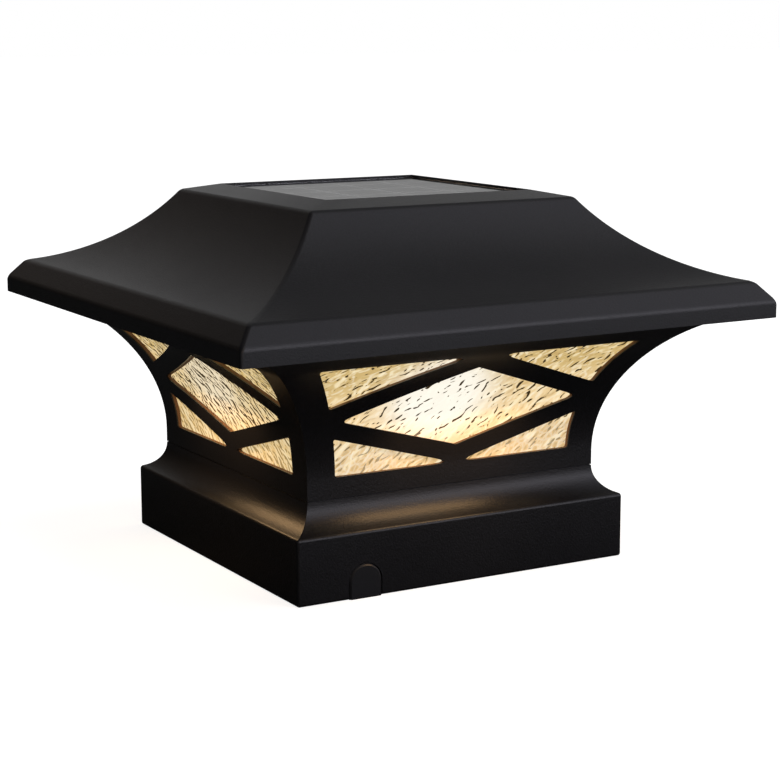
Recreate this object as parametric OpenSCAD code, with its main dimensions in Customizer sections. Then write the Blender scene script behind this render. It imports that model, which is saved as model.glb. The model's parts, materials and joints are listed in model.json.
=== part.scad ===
// Solar cap light for a square deck post.
// Origin: centre of the skirt's bottom edge. +Z is up, the front face is towards -Y.

/* [Post] */
// Width of the square post that the cap slips over
post_w = 139.7; // [120:0.1:160]
// Gap between the post and the inside of the skirt, on each side
post_gap = 0.95; // [0.5:0.05:2]
// Depth that the post goes into the cap
post_depth = 22.4; // [20:0.1:23]

/* [Base collar] */
// Wall of the skirt and of the cove above it
collar_wall = 3.2; // [2.8:0.1:4]
// Height from the bottom edge to the seam under the lantern
collar_h = 37.1; // [36:0.1:44]
// Radius of the cove between the skirt and the lantern
cove_r = 11.5; // [10.5:0.1:11.6]
// How far the neck steps in from the skirt
neck_inset = 9.1; // [7:0.1:10]
// Width of the ledge that rests on the post's top
seat_w = 10.8; // [8:0.1:12]
// Thickness of that ledge
seat_t = 3; // [2:0.1:4]
// Width of the ledges where collar and lantern meet
sill_w = 8.2; // [7.8:0.1:9]
// Thickness of each of those ledges
sill_t = 3; // [2.5:0.1:4]
// Radius of the skirt's upright corners
skirt_corner_r = 2.5; // [1:0.1:4]

/* [Screw covers] */
// Width of the arch-shaped cover
cover_w = 13.8; // [10:0.1:18]
// Height of the cover, from the skirt's bottom edge to its crown
cover_h = 13.2; // [12:0.1:16]
// Distance of the cover from the middle of the skirt
cover_offset = 45.2; // [20:0.1:52]
// How far the cover stands proud of the skirt
cover_proud = 0.4; // [0.2:0.1:0.8]
// Open line round the cover
cover_gap = 0.35; // [0.2:0.05:0.5]
// Depth of the cover's pocket in the skirt
pocket_d = 1.6; // [1.4:0.1:1.8]
// Thickness of the lips that hold the cover in its grooves
groove_lip = 0.8; // [0.6:0.1:0.8]
// How far the cover's edges reach into the grooves
groove_reach = 0.6; // [0.4:0.1:0.8]
// Diameter of the hole for the screw into the post
fixing_d = 4.6; // [4:0.1:5]
// Height of that hole above the bottom edge
fixing_z = 6.8; // [6:0.1:8]

/* [Lantern frame] */
// Wall of the lantern frame
frame_wall = 2; // [1.8:0.1:3]
// Height of the frame, from its seam to its top
frame_h = 65; // [60:0.1:72]
// Height of the straight part below the flare
flare_start = 6.2; // [5:0.1:7]
// Half the width of the frame where the flare meets its top flange
flare_reach = 103.5; // [101:0.1:106]
// Thickness of the top flange under the roof
flange_t = 2.3; // [2:0.1:3]

/* [Lattice] */
// Height of the solid band below the windows
window_sill = 8.5; // [8:0.1:11]
// Height of the solid band above the windows
window_head = 11.3; // [10:0.1:14]
// Width of the corner posts at the sill
post_face = 11.8; // [11.2:0.1:14]
// Width of the corner posts at the tops of the windows
post_head = 16.3; // [15:0.1:19]
// Half the width of the diamond
diamond_reach = 53.8; // [48:0.1:54]
// Height of the diamond's side corners above the seam
diamond_mid = 30.6; // [29:0.1:33]
// How far the diamond's top corner lies below the tops of the windows
diamond_top_in = 5.3; // [4:0.1:7]
// How far its bottom corner lies above the bottoms of the windows
diamond_foot_in = 7.2; // [5.6:0.1:8]
// Width of the upper bars
upper_bar = 7; // [6:0.1:9]
// Width of the lower bars
lower_bar = 7; // [6:0.1:8]
// Radius of the windows' corners
window_corner_r = 1.3; // [0.6:0.1:1.6]

/* [Panes] */
// Thickness of a pane
pane_t = 2; // [1.6:0.1:2.2]
// Gap between a pane and the frame, and under its lower edge
pane_gap = 0.25; // [0.2:0.05:0.4]
// How far a pane reaches above the windows
pane_lap = 7; // [5:0.1:8]
// Thickness of the corner strips that hold the panes
strip_t = 1.5; // [1:0.1:1.6]
// Width of each leg of those strips
strip_w = 5.4; // [5:0.1:6]

/* [Roof] */
// Wall of the roof shell
roof_wall = 3; // [2.5:0.1:3.5]
// Half the width of the roof at its lip
lip_reach = 116.1; // [114:0.1:118]
// Height of the upright lip
lip_h = 6.6; // [5:0.1:7.5]
// How far the lip reaches below the frame's top
lip_drop = 2.1; // [1:0.1:3]
// How far the eave's bevel runs in
eave_run = 6.2; // [5:0.1:7]
// How far the eave's bevel climbs
eave_rise = 7.3; // [6.5:0.1:9]
// Radius of the concave slope
ogee_r = 81.5; // [76:0.5:90]
// Half the width of the crown where the slope ends
crown_reach = 59.3; // [58:0.1:61]
// Height of the slope from the bevel to the crown
ogee_rise = 31.5; // [30:0.1:34]
// How far the crown's border climbs to the panel
border_rise = 2.7; // [2:0.1:3.2]

/* [Solar panel] */
// Width of the square panel
panel_w = 91.8; // [86:0.1:94]
// Gap round the panel in its recess
panel_gap = 0.3; // [0.2:0.1:0.5]
// How far the panel lies below the crown's rim
panel_sink = 1; // [0.5:0.1:1.5]
// Thickness of the cover glass
glass_t = 2; // [1.6:0.1:2.4]
// Thickness of the cells
cell_t = 0.5; // [0.4:0.1:0.8]
// Thickness of the backing board
backing_t = 1.2; // [1:0.1:1.6]
// Thickness of the foam seal under the panel
panel_seal_t = 0.8; // [0.5:0.1:1]
// Cells along each side
cells_n = 4; // [2:1:6]
// Gap between neighbouring cells
cell_gap = 1.6; // [1:0.1:3]

/* [Electronics housing] */
// Width of the square housing
housing_w = 92; // [90:0.1:94]
// Wall and floor of the housing
housing_wall = 2; // [1.8:0.1:2.2]
// Width of the housing's flange beyond its wall
housing_flange = 9.5; // [9:0.1:10]
// Thickness of that flange
housing_flange_t = 2.5; // [2:0.1:3]
// Thickness of the ceiling plate
ceiling_t = 1.5; // [1:0.1:1.8]
// Thickness of the foam seal over the housing
housing_seal_t = 1.5; // [1:0.1:2]

/* [Batteries] */
// Diameter of a cell
cell_d = 14.2; // [13.8:0.1:14.5]
// Length of a cell, over its button
cell_len = 50.5; // [50:0.1:51]
// Room at each end of a cell for its contact
contact_room = 3.75; // [3.5:0.05:4]
// Distance between the two cells' centre lines
cell_pitch = 15; // [14.6:0.1:15.2]
// Thickness of the door
door_t = 2; // [1.8:0.1:2.2]
// Gap round the door
door_gap = 0.4; // [0.3:0.05:0.5]
// Diameter of the hinge pin
hinge_pin_d = 1.5; // [1.3:0.1:1.6]

/* [Light source] */
// Diameter of the LED board
led_board_d = 20.6; // [20:0.1:21]
// Depth of the diffuser's dome below the ceiling
dome_depth = 6; // [5:0.1:8]
// Number of light emitters
led_n = 4; // [3:1:6]

/* [Switch] */
// Travel of the slider
switch_travel = 3; // [2:0.5:3.5]
// Length of the slider's knob
knob_len = 4; // [3.5:0.1:4.5]
// Width of the slider's knob
knob_w = 3.4; // [3:0.1:4]
// How far the knob stands below the ceiling
knob_proud = 1.5; // [1:0.1:3]

/* [Screws] */
// Shank diameter of the large screws
screw_d = 3; // [2.8:0.1:3.1]
// Head diameter of the large screws
screw_head_d = 5.4; // [5:0.1:5.5]
// Head height of the large screws
screw_head_h = 2.1; // [1.8:0.1:2.4]
// Shank diameter of the small screws
small_screw_d = 2; // [1.8:0.1:2.1]
// Head diameter of the small screws
small_head_d = 3.6; // [3.4:0.1:3.7]

/* [Hidden] */
$fn = 64;
fit = 0.02;            // gap between a screw or pin and the hole that holds it
slip = 0.1;            // gap round a part that turns or slides in a bore
seat_gap = 0.2;        // gap between pieces that lie on each other but don't press
cut = 1;               // how far a cutting shape runs past the face that it opens
hole_spare = 0.5;      // how far a blind hole goes on past its screw's tip
socket_share = 0.5;    // how much of a screw's head its socket takes up
reach = 2 * lip_reach + 30;

// Collar
skirt_half = post_w / 2 + post_gap + collar_wall;
socket_half = skirt_half - collar_wall;
neck_half = skirt_half - neck_inset;
cove_x = neck_half + cove_r;
seat_top = post_depth + seat_t;
sill_half = neck_half - frame_wall - sill_w;
ledge_bottom = collar_h - sill_t;
frame_screw_in = 2.8;
frame_screw_x = sill_half + frame_screw_in;
cover_bevel = 0.3;
cover_skin = 0.1;
cover_play = 0.15;       // gap between a cover's flange and the lips in front of it

// Frame
frame_top = collar_h + frame_h;
flare_z = collar_h + flare_start;
flange_bottom = frame_top - flange_t;
flare_run = flare_reach - neck_half;
flare_rise = flange_bottom - flare_z;
flare_r = (pow(flare_run, 2) + pow(flare_rise, 2)) / (2 * flare_run);
flare_x = neck_half + flare_r;
sill_top = collar_h + sill_t;
flange_gap = 0.3;
lip_in = lip_reach - roof_wall;
flange_half = lip_in - flange_gap;
frame_boss_r = 2.6;
frame_boss_drop = 0.4;   // how far the bosses end below the windows
frame_screw_bite = 6;

// Windows
win_bottom = collar_h + window_sill;
win_top = frame_top - window_head;
post_edge_z = flare_z + 1;
post_edge_foot = neck_half - post_face;
post_edge_run = flare_at(win_top) - post_head - post_edge_foot;
post_edge_rise = win_top - post_edge_z;
post_edge_r = (pow(post_edge_run, 2) + pow(post_edge_rise, 2)) / (2 * post_edge_run);
post_edge_x = post_edge_foot + post_edge_r;
diamond_mid_z = collar_h + diamond_mid;
diamond_top_z = win_top - diamond_top_in;
diamond_foot_z = win_bottom + diamond_foot_in;
upper_slope = (diamond_top_z - diamond_mid_z) / diamond_reach;
lower_slope = (diamond_mid_z - diamond_foot_z) / diamond_reach;
upper_line_z = diamond_top_z + upper_bar * sqrt(1 + pow(upper_slope, 2));
lower_line_z = diamond_foot_z - lower_bar * sqrt(1 + pow(lower_slope, 2));

// Panes
pane_out = frame_wall + pane_gap;
pane_in = pane_out + pane_t;
pane_corner = 0.8;
pane_end = pane_in + pane_corner;
pane_bottom = sill_top + pane_gap;
pane_top = win_top + pane_lap;
strip_out = pane_in + pane_gap;
strip_in = strip_out + strip_t;
strip_bottom = sill_top + seat_gap;
foot_t = 2;
foot_edge = 0.4;
foot_x = sill_half + small_head_d / 2 + foot_edge;
foot_reach = neck_half - strip_out - slip - sill_half - seat_gap;
strip_screw_short = 0.6;
small_head_h = 1.4;

// Roof
lip_bottom = frame_top - lip_drop;
lip_top = lip_bottom + lip_h;
eave = [lip_reach, lip_top];
slope_foot = [lip_reach - eave_run, lip_top + eave_rise];
crown = [crown_reach, slope_foot.y + ogee_rise];
panel_half = panel_w / 2;
recess_half = panel_half + panel_gap;
rim = [recess_half, crown.y + border_rise];
crown_top = rim.y;
slope_chord = crown - slope_foot;
slope_side = [-slope_chord.y, slope_chord.x] / norm(slope_chord);
slope_mid = (crown + slope_foot) / 2;
ogee_centre = slope_mid - slope_side * sqrt(pow(ogee_r, 2) - pow(norm(slope_chord) / 2, 2));
glass_top = crown_top - panel_sink;
cells_top = glass_top - glass_t;
backing_top = cells_top - cell_t;
seal_top = backing_top - backing_t;
recess_floor = seal_top - panel_seal_t;
crown_under = recess_floor - roof_wall;
tray_half = recess_half + roof_wall;
roof_screw_in = 3.9;
roof_screw_x = lip_in - roof_screw_in;
roof_boss_r = 3.2;
roof_screw_bite = 7;
roof_corner_r = 2;
cell_margin = 3;
panel_seal_in = 1;
panel_seal_w = 6;

// Ceiling and housing
ceiling_top = frame_top + ceiling_t;
ceiling_inset = 5.2;
ceiling_half = flange_half - ceiling_inset;
housing_half = housing_w / 2;
housing_in = housing_half - housing_wall;
housing_bottom = frame_top;
floor_top = housing_bottom + housing_wall;
housing_top = crown_under - housing_seal_t;
flange_top = ceiling_top + housing_flange_t;
flange_out = housing_half + housing_flange;
module_screw_in = 4.5;
module_screw_x = flange_out - module_screw_in;
module_boss_r = 4;
module_screw_bite = 9;

// Batteries: their bay is along the back of the housing
bay_len = cell_len / 2 + contact_room;
bay_wall = 1.5;
cell_back_gap = 0.9;
cell_front_gap = 1.4;
cell_head_gap = 1.2;
knuckle_r = 1.8;
knuckle_gap = 0.3;
knuckle_len = 12;
knuckle_end = 1.5;
lug_len = 3.6;
lug_r = 2.2;
lug_lap = 1.3;
hinge_y = housing_in - knuckle_r - knuckle_gap;
hinge_z = housing_bottom + door_t / 2;
cell_y = housing_in - cell_back_gap - cell_d / 2;
cell_z = floor_top + knuckle_gap + cell_d / 2;
bay_front = cell_y - cell_pitch - cell_d / 2 - cell_front_gap;
bay_top = cell_z + cell_d / 2 + cell_head_gap;
door_opening_x = bay_len + lug_lap;
door_x = door_opening_x - door_gap;
door_front = bay_front + door_gap;
knuckle_x = door_x - knuckle_len - knuckle_end;
pin_half = door_opening_x + lug_len - door_gap;

// Light source
led_gap = 1.9;
led_y = bay_front - bay_wall - led_gap - led_board_d / 2;
led_board_t = 1.2;
lens_flange_t = 1;
lens_lap = 2;
lens_wall = 1.4;
lens_hole_r = led_board_d / 2 - lens_lap;
lens_neck_r = lens_hole_r - seat_gap;
led_board_z = floor_top + lens_flange_t;
emitter = [3.5, 2.8, 1.2];
emitter_in = 2.2;

// Control board
board_side_gap = 9;
board_front_gap = 2;
board_back_gap = 2.5;
board_rise = 12.7;
board_t = 1.6;
board_x = housing_in - board_side_gap;
board_front = board_front_gap - housing_in;
board_back = led_y - led_board_d / 2 - board_back_gap;
board_z = floor_top + board_rise;
board_top = board_z + board_t;
board_screw_in = 3.2;
board_screw_x = board_x - board_screw_in;
board_screw_ys = [board_front + board_screw_in, board_back - board_screw_in];
board_screw_bite = 5;
board_post_r = 2.8;

// Parts on the board: where they stand and how large they are
parts_front_gap = 6;
parts_back_gap = 10;
parts_side_gap = [9, 15];
controller_at = [6, board_front + parts_front_gap];
controller = [6, 5, 1.7];
inductor_at = [board_x - parts_side_gap[1], board_back - parts_back_gap];
inductor_d = 9;
inductor_h = 5;
capacitor_at = [-14, board_front + parts_front_gap];
capacitor_d = 6.3;
capacitor_h = 11;
diode_rise = 2;
diode_at = [parts_side_gap[0] - board_x, board_back - parts_back_gap + diode_rise];
diode = [5, 2.6, 2.2];

// Switch
switch_in = [15, 13];
switch_at = [switch_in.x - board_x, board_front + switch_in.y];
switch_body = [13.6, 7.2, 7];
slider_base = [6, 5, 1.6];
slider_lift = 1.4;
slider_play = 0.4;
slider_base_z = floor_top + slider_lift;
knob_slot_x = knob_len + switch_travel + 2 * seat_gap;
knob_slot_y = knob_w + 2 * seat_gap;

// Leads
lead_r = 0.8;
panel_lead_in = 10;
lead_y = board_back - panel_lead_in;
lead_x = 2.2;
lead_bend_r = 3;
lead_rise = 6;
led_lead_x = 3;
led_lead_in = 6;
led_lead_y = led_y - led_lead_in;
battery_lead_in = [4.2, 4];
battery_lead_x = board_screw_x - battery_lead_in.x;
battery_lead_y = bay_front + battery_lead_in.y;
grommet_r = 5;
grommet_lip = 1.2;

// ---- Helpers ----

// An upright 2D section, drawn in X and Z, run along Y.
module run_along_y(length) {
    rotate([90, 0, 0])
        linear_extrude(height = length, center = true)
            children();
}

// The same section run along X.
module run_along_x(length) {
    rotate([0, 0, 90])
        run_along_y(length)
            children();
}

// The solid that shows one section on all four sides, mitred at its corners.
module four_sided() {
    intersection() {
        run_along_y(reach) children();
        run_along_x(reach) children();
    }
}

// A square block about the Z axis, from z0 to z1.
module block(half, z0, z1) {
    translate([-half, -half, z0])
        cube([2 * half, 2 * half, z1 - z0]);
}

// A square with round corners.
module round_square(half, r) {
    square([2 * half, 2 * (half - r)], center = true);
    square([2 * (half - r), 2 * half], center = true);
    for (x = [-1, 1])
        for (y = [-1, 1])
            translate([x * (half - r), y * (half - r)])
                circle(r);
}

// Copies at the four corners of a square.
module at_corners(x) {
    for (turn = [0:90:270])
        rotate([0, 0, turn])
            translate([x, x, 0])
                children();
}

// Copies at the middle of the four sides of a square.
module at_sides(x) {
    for (turn = [0:90:270])
        rotate([0, 0, turn])
            translate([x, 0, 0])
                children();
}

// A pan-head screw driven upwards: its head hangs below z = 0.
module screw_up(d, head_d, head_h, length) {
    translate([0, 0, -head_h])
        difference() {
            cylinder(d = head_d, h = head_h);
            translate([0, 0, -cut])
                cylinder(d = head_d * socket_share, h = cut + head_h * socket_share, $fn = 6);
        }
    cylinder(d = d, h = length);
}

// A countersunk screw driven upwards: its head is flush with z = 0.
module flush_screw(d, head_d, length) {
    difference() {
        union() {
            cylinder(d1 = head_d, d2 = d, h = (head_d - d) / 2);
            cylinder(d = d, h = length);
        }
        translate([0, 0, -cut])
            cylinder(d = d * socket_share, h = cut + d * socket_share, $fn = 6);
    }
}

// The outline of an arch with a round top, standing on y = 0.
module arch(w, h) {
    translate([-w / 2, 0])
        square([w, h - w / 2]);
    intersection() {
        translate([0, h - w / 2])
            circle(d = w);
        translate([-w / 2, 0])
            square([w, h]);
    }
}

// Where a line through p along u meets a line through q along v.
function meet(p, u, q, v) =
    let (t = ((q.x - p.x) * v.y - (q.y - p.y) * v.x) / (u.x * v.y - u.y * v.x))
    p + t * u;

// The unit vector square to u, on its right.
function right_of(u) = [u.y, -u.x] / norm(u);

// Points of a closed outline with each clear corner rounded to radius r.
function rounded(points, r, steps = 4) = [
    for (i = [0:len(points) - 1])
        let (
            n = len(points),
            p = points[i],
            a = points[(i + n - 1) % n] - p,
            b = points[(i + 1) % n] - p,
            ua = a / norm(a),
            ub = b / norm(b),
            bend = acos(max(-1, min(1, ua * ub)))
        )
        each bend > 165 ? [p] :
            let (
                back = min(r / tan(bend / 2), norm(a) * 0.45, norm(b) * 0.45),
                way = (ua + ub) / norm(ua + ub),
                centre = p + way * back / cos(bend / 2),
                start = p + ua * back - centre,
                end = p + ub * back - centre,
                turn = 180 - bend,
                side = start.x * end.y - start.y * end.x > 0 ? 1 : -1
            )
            [
                for (k = [0:steps])
                    let (a1 = side * turn * k / steps)
                    centre + [
                        start.x * cos(a1) - start.y * sin(a1),
                        start.x * sin(a1) + start.y * cos(a1)
                    ]
            ]
];

// ---- Base collar ----

// The collar's outer section: an upright skirt and a cove up to the neck.
module collar_section() {
    difference() {
        translate([-skirt_half, 0])
            square([2 * skirt_half, collar_h]);
        for (side = [-1, 1])
            translate([side * cove_x, collar_h])
                circle(cove_r);
    }
}

// The hollow above the seat, one wall inside the cove.
module collar_hollow() {
    difference() {
        translate([-socket_half, seat_top])
            square([2 * socket_half, ledge_bottom - seat_top]);
        for (side = [-1, 1])
            translate([side * cove_x, collar_h])
                circle(cove_r + collar_wall);
    }
}

// Where a cover sits: children are drawn looking at the face, then laid into it.
module on_front(depth_out, thickness) {
    translate([-cover_offset, -skirt_half - depth_out, 0])
        rotate([90, 0, 0])
            mirror([0, 0, 1])
                linear_extrude(height = thickness)
                    children();
}

// The stepped pocket for one cover and the hole behind it.
module cover_pocket() {
    mouth_w = cover_w + 2 * cover_gap;
    groove_w = mouth_w + 2 * groove_reach;
    on_front(cut, cut + groove_lip)
        translate([0, -cut])
            arch(mouth_w, cover_h + cover_gap + cut);
    on_front(-groove_lip, pocket_d - groove_lip)
        translate([0, -cut])
            arch(groove_w, cover_h + cover_gap + groove_reach + cut);
    translate([-cover_offset, -skirt_half + collar_wall + cut, fixing_z])
        rotate([90, 0, 0])
            cylinder(d = fixing_d, h = collar_wall + 2 * cut);
}

// One collar casting: skirt, seat on the post's top, cove and lantern ledge.
module base_collar() {
    color("#17171a")
    difference() {
        intersection() {
            four_sided()
                collar_section();
            linear_extrude(height = collar_h)
                round_square(skirt_half, skirt_corner_r);
        }
        block(socket_half, -cut, post_depth);
        block(socket_half - seat_w, -cut, seat_top + cut);
        four_sided()
            collar_hollow();
        block(sill_half, ledge_bottom - cut, collar_h + cut);
        at_sides(frame_screw_x)
            translate([0, 0, ledge_bottom - cut])
                cylinder(d = screw_d + 2 * slip, h = sill_t + 2 * cut);
        cover_pocket();
        rotate([0, 0, 180])
            cover_pocket();
    }
}

// The arch cover: a crowned face and a thin flange that runs in the grooves.
module screw_cover(turn) {
    flange_w = cover_w + 2 * groove_reach;
    flange_back = pocket_d - slip;
    flange_front = groove_lip + cover_play;
    edge = cover_proud + cover_bevel;
    color("#1b1b1f")
    rotate([0, 0, turn]) {
        on_front(cover_proud - edge, flange_back - edge + cover_proud)
            arch(cover_w, cover_h);
        hull() {
            on_front(cover_proud - edge, cover_skin)
                arch(cover_w, cover_h);
            on_front(cover_proud, cover_skin)
                arch(cover_w - 2 * edge, cover_h - edge);
        }
        on_front(-flange_front, flange_back - flange_front)
            arch(flange_w, cover_h + groove_reach);
    }
}

// ---- Lantern frame and panes ----

// Everything inside the flared face, set in by d, from z0 to z1.
module flare_section(d, z0, z1, half = flange_half) {
    difference() {
        translate([-half, z0])
            square([2 * half, z1 - z0]);
        for (side = [-1, 1]) {
            translate([side * flare_x, flare_z])
                circle(flare_r + d, $fn = 180);
            translate([side > 0 ? neck_half - d : -flare_x, z0 - cut])
                square([flare_x - neck_half + d, flare_z - z0 + cut]);
        }
    }
}

// Half the width of the flared face at height z.
function flare_at(z) = flare_x - sqrt(pow(flare_r, 2) - pow(max(0, z - flare_z), 2));

// The window's outer edge at height z.
function edge_x(z) =
    post_edge_x - sqrt(pow(post_edge_r, 2) - pow(max(0, z - post_edge_z), 2));

// Where the sloping edge z = z0 + slope * x meets the window's outer edge.
function edge_hit(z0, slope) =
    let (
        a = 1 + pow(slope, 2),
        b = slope * (z0 - post_edge_z) - post_edge_x,
        c = pow(post_edge_x, 2) + pow(z0 - post_edge_z, 2) - pow(post_edge_r, 2),
        x = (-b - sqrt(pow(b, 2) - a * c)) / a
    )
    [x, z0 + slope * x];

// Points along the window's outer edge between two heights.
function edge_run(z0, z1, steps = 4) = [
    for (k = [0:steps])
        let (z = z0 + (z1 - z0) * k / steps)
        [edge_x(z), z]
];

upper_hit = edge_hit(upper_line_z, -upper_slope);
lower_hit = edge_hit(lower_line_z, lower_slope);
upper_window = rounded(concat(
    [[(upper_line_z - win_top) / upper_slope, win_top]],
    edge_run(win_top, upper_hit.y)
), window_corner_r);
lower_window = rounded(concat(
    [[(win_bottom - lower_line_z) / lower_slope, win_bottom]],
    edge_run(win_bottom, lower_hit.y)
), window_corner_r);
diamond = rounded([
    [diamond_reach, diamond_mid_z],
    [0, diamond_top_z],
    [-diamond_reach, diamond_mid_z],
    [0, diamond_foot_z]
], window_corner_r);

// The five openings between the crossed bars of one face.
module windows() {
    polygon(diamond);
    for (side = [0, 1])
        mirror([side, 0]) {
            polygon(upper_window);
            polygon(lower_window);
        }
}

// The lattice casting: four flared faces, a sill inside and a flange on top.
module lantern_frame() {
    color("#151517")
    difference() {
        union() {
            difference() {
                union() {
                    four_sided()
                        flare_section(0, collar_h, frame_top);
                    block(flange_half, flange_bottom, frame_top);
                }
                four_sided()
                    flare_section(frame_wall, sill_top, frame_top + cut);
            }
            at_sides(frame_screw_x)
                translate([0, 0, sill_top - seat_gap])
                    cylinder(r = frame_boss_r, h = win_bottom - sill_top - frame_boss_drop);
        }
        block(sill_half, collar_h - cut, sill_top + cut);
        run_along_y(reach) windows();
        run_along_x(reach) windows();
        at_sides(frame_screw_x)
            translate([0, 0, collar_h - cut])
                cylinder(d = screw_d + 2 * fit, h = cut + frame_screw_bite + hole_spare);
        at_corners(foot_x)
            translate([0, 0, collar_h - cut])
                cylinder(d = small_screw_d + 2 * fit, h = sill_t + 2 * cut);
        at_corners(roof_screw_x)
            translate([0, 0, flange_bottom]) {
                translate([0, 0, -cut])
                    cylinder(d = screw_d + 2 * slip, h = flange_t + 2 * cut);
                cylinder(
                    d1 = screw_head_d + 2 * slip,
                    d2 = screw_d + 2 * slip,
                    h = (screw_head_d - screw_d) / 2
                );
            }
    }
}

// The four screws that hold the frame to the collar, heads under the ledge.
module frame_screws() {
    color("#a9a9ad")
    at_sides(frame_screw_x)
        translate([0, 0, ledge_bottom])
            screw_up(screw_d, screw_head_d, screw_head_h, sill_t + frame_screw_bite);
}

// One bent pane: it follows the flare behind the lattice and stops short of its neighbours.
module pane(turn) {
    color("#ead9a8")
    rotate([0, 0, turn])
    intersection() {
        run_along_x(reach)
            difference() {
                flare_section(pane_out, pane_bottom, pane_top);
                flare_section(pane_in, pane_bottom - cut, pane_top + cut);
                translate([0, pane_bottom - cut])
                    square([reach, pane_top - pane_bottom + 2 * cut]);
            }
        run_along_y(reach)
            flare_section(pane_end, pane_bottom - cut, pane_top + cut);
    }
}

// Four angle strips that press the panes into the frame's corners.
module pane_strips() {
    color("#1a1a1c") {
        difference() {
            four_sided()
                flare_section(strip_out, strip_bottom, pane_top);
            four_sided()
                flare_section(strip_in, strip_bottom - cut, pane_top + cut);
            run_along_y(reach)
                flare_section(strip_out + strip_w, strip_bottom - cut, pane_top + cut);
            run_along_x(reach)
                flare_section(strip_out + strip_w, strip_bottom - cut, pane_top + cut);
        }
        at_corners(0)
            difference() {
                translate([sill_half + seat_gap, sill_half + seat_gap, strip_bottom])
                    cube([foot_reach, foot_reach, foot_t]);
                translate([foot_x, foot_x, strip_bottom - cut])
                    cylinder(d = small_screw_d + 2 * slip, h = foot_t + 2 * cut);
            }
    }
}

// The screws through the strips' feet into the frame's sill.
module strip_screws() {
    color("#a9a9ad")
    at_corners(foot_x)
        translate([0, 0, strip_bottom + foot_t])
            mirror([0, 0, 1])
                screw_up(
                    small_screw_d, small_head_d, small_head_h,
                    foot_t + sill_t - strip_screw_short
                );
}

// ---- Roof ----

// Everything under the roof's outer face, set in by t, down to the height foot.
module roof_section(t, foot) {
    eave_way = slope_foot - eave;
    border_way = rim - crown;
    eave_at = eave - t * right_of(eave_way);
    border_at = crown - t * right_of(border_way);
    lip_x = lip_reach - t;
    peak = meet(eave_at, eave_way, border_at, border_way);
    rim_x = rim.x + t;
    points = [
        [lip_x, foot],
        meet([lip_x, foot], [0, 1], eave_at, eave_way),
        peak,
        meet([rim_x, 0], [0, 1], border_at, border_way)
    ];
    mirrored = [for (i = [len(points) - 1:-1:0]) [-points[i].x, points[i].y]];
    difference() {
        polygon(concat(points, mirrored));
        for (side = [-1, 1])
            translate([side * ogee_centre.x, ogee_centre.y])
                circle(ogee_r + t, $fn = 180);
    }
}

// The roof casting: an even wall all over, a tray for the panel and eight bosses.
module roof_shell() {
    color("#26262a")
    difference() {
        union() {
            difference() {
                intersection() {
                    four_sided()
                        roof_section(0, lip_bottom);
                    translate([0, 0, lip_bottom])
                        linear_extrude(height = crown_top - lip_bottom)
                            round_square(lip_reach, roof_corner_r);
                }
                difference() {
                    four_sided()
                        roof_section(roof_wall, lip_bottom - cut);
                    block(tray_half, crown_under, crown_top);
                }
            }
            intersection() {
                union() {
                    at_corners(roof_screw_x)
                        translate([0, 0, frame_top])
                            cylinder(r = roof_boss_r, h = crown_top - frame_top);
                    at_corners(module_screw_x)
                        translate([0, 0, flange_top])
                            cylinder(r = module_boss_r, h = crown_top - flange_top);
                }
                four_sided()
                    roof_section(roof_wall / 2, lip_bottom);
            }
        }
        block(recess_half, recess_floor, crown_top + cut);
        translate([0, lead_y, crown_under - cut])
            cylinder(r = grommet_r, h = roof_wall + 2 * cut);
        at_corners(roof_screw_x)
            translate([0, 0, frame_top - cut])
                cylinder(d = screw_d + 2 * fit, h = cut + roof_screw_bite + hole_spare);
        at_corners(module_screw_x)
            translate([0, 0, flange_top - cut])
                cylinder(d = screw_d + 2 * fit, h = cut + module_screw_bite + hole_spare);
    }
}

// The screws up through the frame's flange into the roof, flush below.
module roof_screws() {
    color("#a9a9ad")
    at_corners(roof_screw_x)
        translate([0, 0, flange_bottom])
            flush_screw(screw_d, screw_head_d, flange_t + roof_screw_bite);
}

// ---- Solar panel ----

module solar_glass() {
    color("#6d7176")
    block(panel_half, cells_top, glass_top);
}

// A square grid of cells under the glass.
module solar_cells() {
    field = panel_w - 2 * cell_margin;
    pitch = (field + cell_gap) / cells_n;
    color("#141a2c")
    for (i = [0:cells_n - 1])
        for (j = [0:cells_n - 1])
            translate([i * pitch - field / 2, j * pitch - field / 2, backing_top])
                cube([pitch - cell_gap, pitch - cell_gap, cell_t]);
}

module panel_backing() {
    color("#22252b")
    block(panel_half, seal_top, backing_top);
}

// A foam ring under the edge of the panel.
module panel_seal() {
    color("#101010")
    difference() {
        block(panel_half - panel_seal_in, recess_floor, seal_top);
        block(panel_half - panel_seal_in - panel_seal_w, recess_floor - cut, seal_top + cut);
    }
}

// ---- Ceiling, housing and batteries ----

// The white plate over the lantern, with the housing's floor showing in its middle.
module ceiling_plate() {
    color("#ececea")
    difference() {
        block(ceiling_half, frame_top, ceiling_top);
        block(housing_half + seat_gap, frame_top - cut, ceiling_top + cut);
        at_corners(roof_screw_x)
            translate([0, 0, frame_top - cut])
                cylinder(r = roof_boss_r + 2 * seat_gap, h = ceiling_t + 2 * cut);
        at_corners(module_screw_x)
            translate([0, 0, frame_top - cut])
                cylinder(d = screw_d + 2 * slip, h = ceiling_t + 2 * cut);
    }
}

// The hinge lugs at both ends of the door opening.
module hinge_lugs() {
    for (side = [-1, 1])
        translate([side * (door_opening_x + lug_len / 2), hinge_y, hinge_z])
            rotate([0, 90, 0])
                cylinder(r = lug_r, h = lug_len, center = true);
}

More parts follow.
